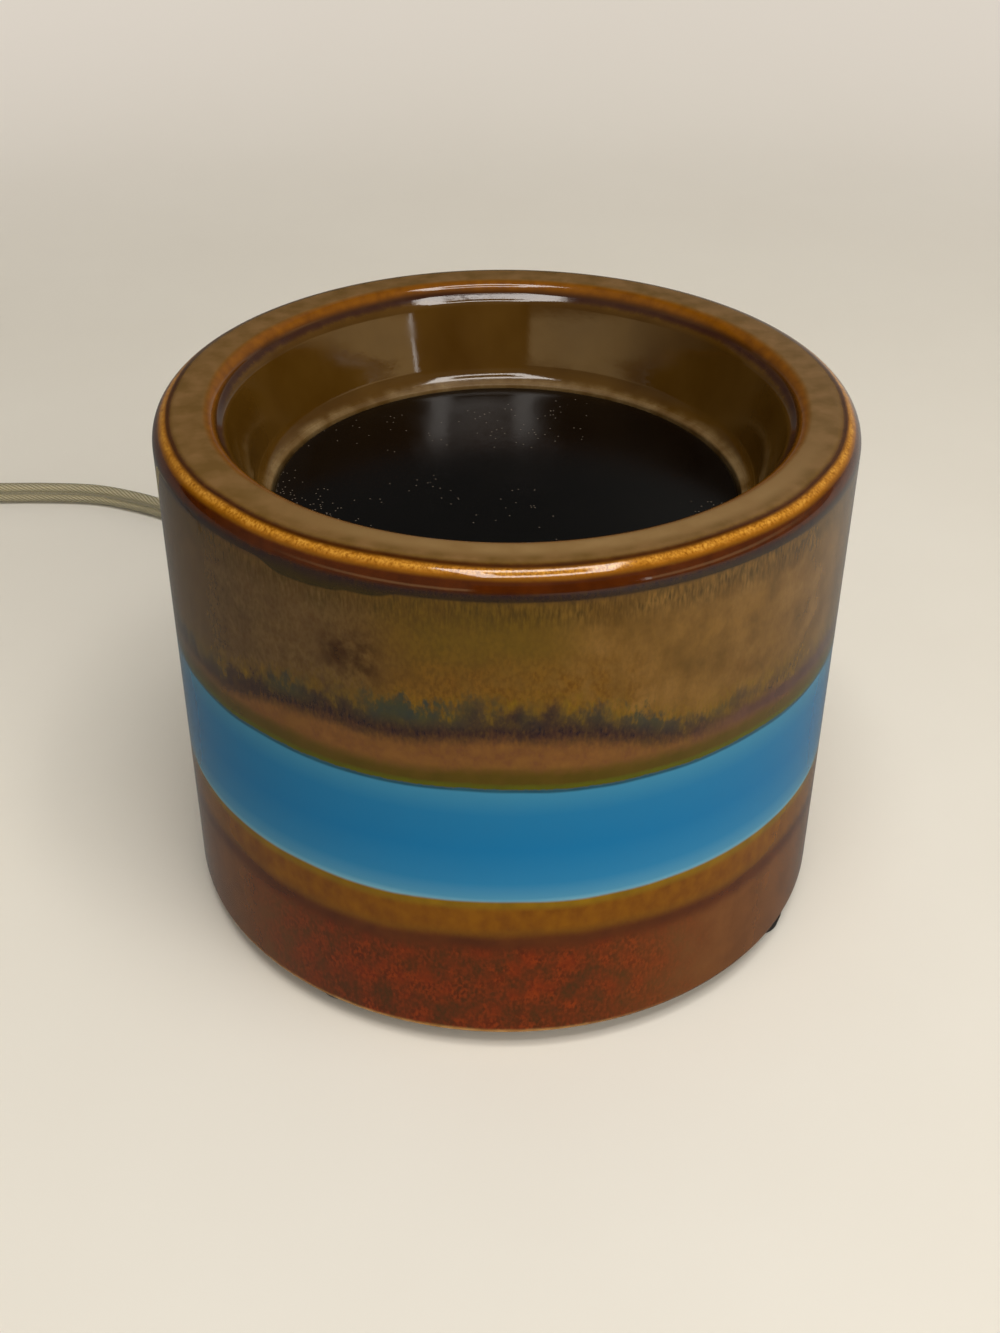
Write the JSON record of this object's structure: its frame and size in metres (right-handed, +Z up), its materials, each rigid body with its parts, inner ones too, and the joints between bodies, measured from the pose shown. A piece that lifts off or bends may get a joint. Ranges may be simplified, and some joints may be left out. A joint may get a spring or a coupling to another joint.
{
  "type": "electric wax warmer",
  "caption": "Glazed stoneware drum with a sunken electric hot plate that melts scented wax, on rubber feet, with a clear flat cord, in-line rocker switch and plug.",
  "frame": {"origin": "centre of the body's underside, on the surface that the feet stand on", "axes": "+Z up along the body's axis, +Y towards the cord's exit at the back, -Y the front"},
  "size_m": [0.2525, 0.2349, 0.096],
  "materials": {
    "glazed_stoneware": "gloss",
    "black_enamel": "satin",
    "glass_fibre": "matte",
    "mica": "satin",
    "heating_alloy": "satin",
    "zinc_plated_steel": "satin",
    "aluminium_sheet": "satin",
    "brass": "satin",
    "white_silicone": "matte",
    "red_silicone": "matte",
    "natural_nylon": "satin",
    "black_painted_steel": "satin",
    "black_rubber": "matte",
    "clear_pvc": "gloss",
    "milky_plastic": "satin",
    "white_plastic": "gloss"
  },
  "bodies": {
    "warmer": {"ceramic_body": "glazed_stoneware", "foot_front_right": "black_rubber", "foot_rear_right": "black_rubber", "foot_rear_left": "black_rubber", "foot_front_left": "black_rubber", "hot_plate": "black_enamel", "plate_gasket": "glass_fibre", "heating_element": "heating_alloy", "mica_disc_upper": "mica", "mica_disc_lower": "mica", "heater_clamp_plate": "zinc_plated_steel", "clamp_washer": "zinc_plated_steel", "clamp_nut": "zinc_plated_steel", "tie_rod": "zinc_plated_steel", "shield_spacer": "aluminium_sheet", "shield_nut": "zinc_plated_steel", "heat_shield": "aluminium_sheet", "base_cover": "black_painted_steel", "base_washer": "zinc_plated_steel", "base_nut": "zinc_plated_steel", "thermal_fuse": "aluminium_sheet", "fuse_clip": "zinc_plated_steel", "crimp_cap_line": "natural_nylon", "crimp_cap_neutral": "natural_nylon", "cord_tail_line": "clear_pvc", "cord_tail_neutral": "clear_pvc", "element_lead_neutral": "white_silicone", "element_lead_line": "red_silicone", "fuse_lead": "red_silicone", "cord_bushing": "black_rubber", "supply_cord": "clear_pvc", "switch_base": "milky_plastic", "switch_cover": "milky_plastic", "switch_screw_rear": "zinc_plated_steel", "switch_screw_front": "zinc_plated_steel", "contact_post_outer": "brass", "contact_post_middle": "brass", "cord_coil": "clear_pvc", "coil_tie": "black_rubber", "coil_lead_in": "clear_pvc", "plug_lead": "clear_pvc", "plug_body": "milky_plastic", "plug_blade_line": "brass", "plug_blade_neutral": "brass"},
    "rocker": {"switch_rocker": "white_plastic", "contact_bridge": "brass"}
  },
  "joints": [
    {"name": "rocker_tilt", "type": "hinge", "parent": "warmer", "child": "rocker", "pos_m": [-0.18, 0.1, 0.01485], "axis": [1, 0, 0], "range_deg": [0, 20]}
  ]
}
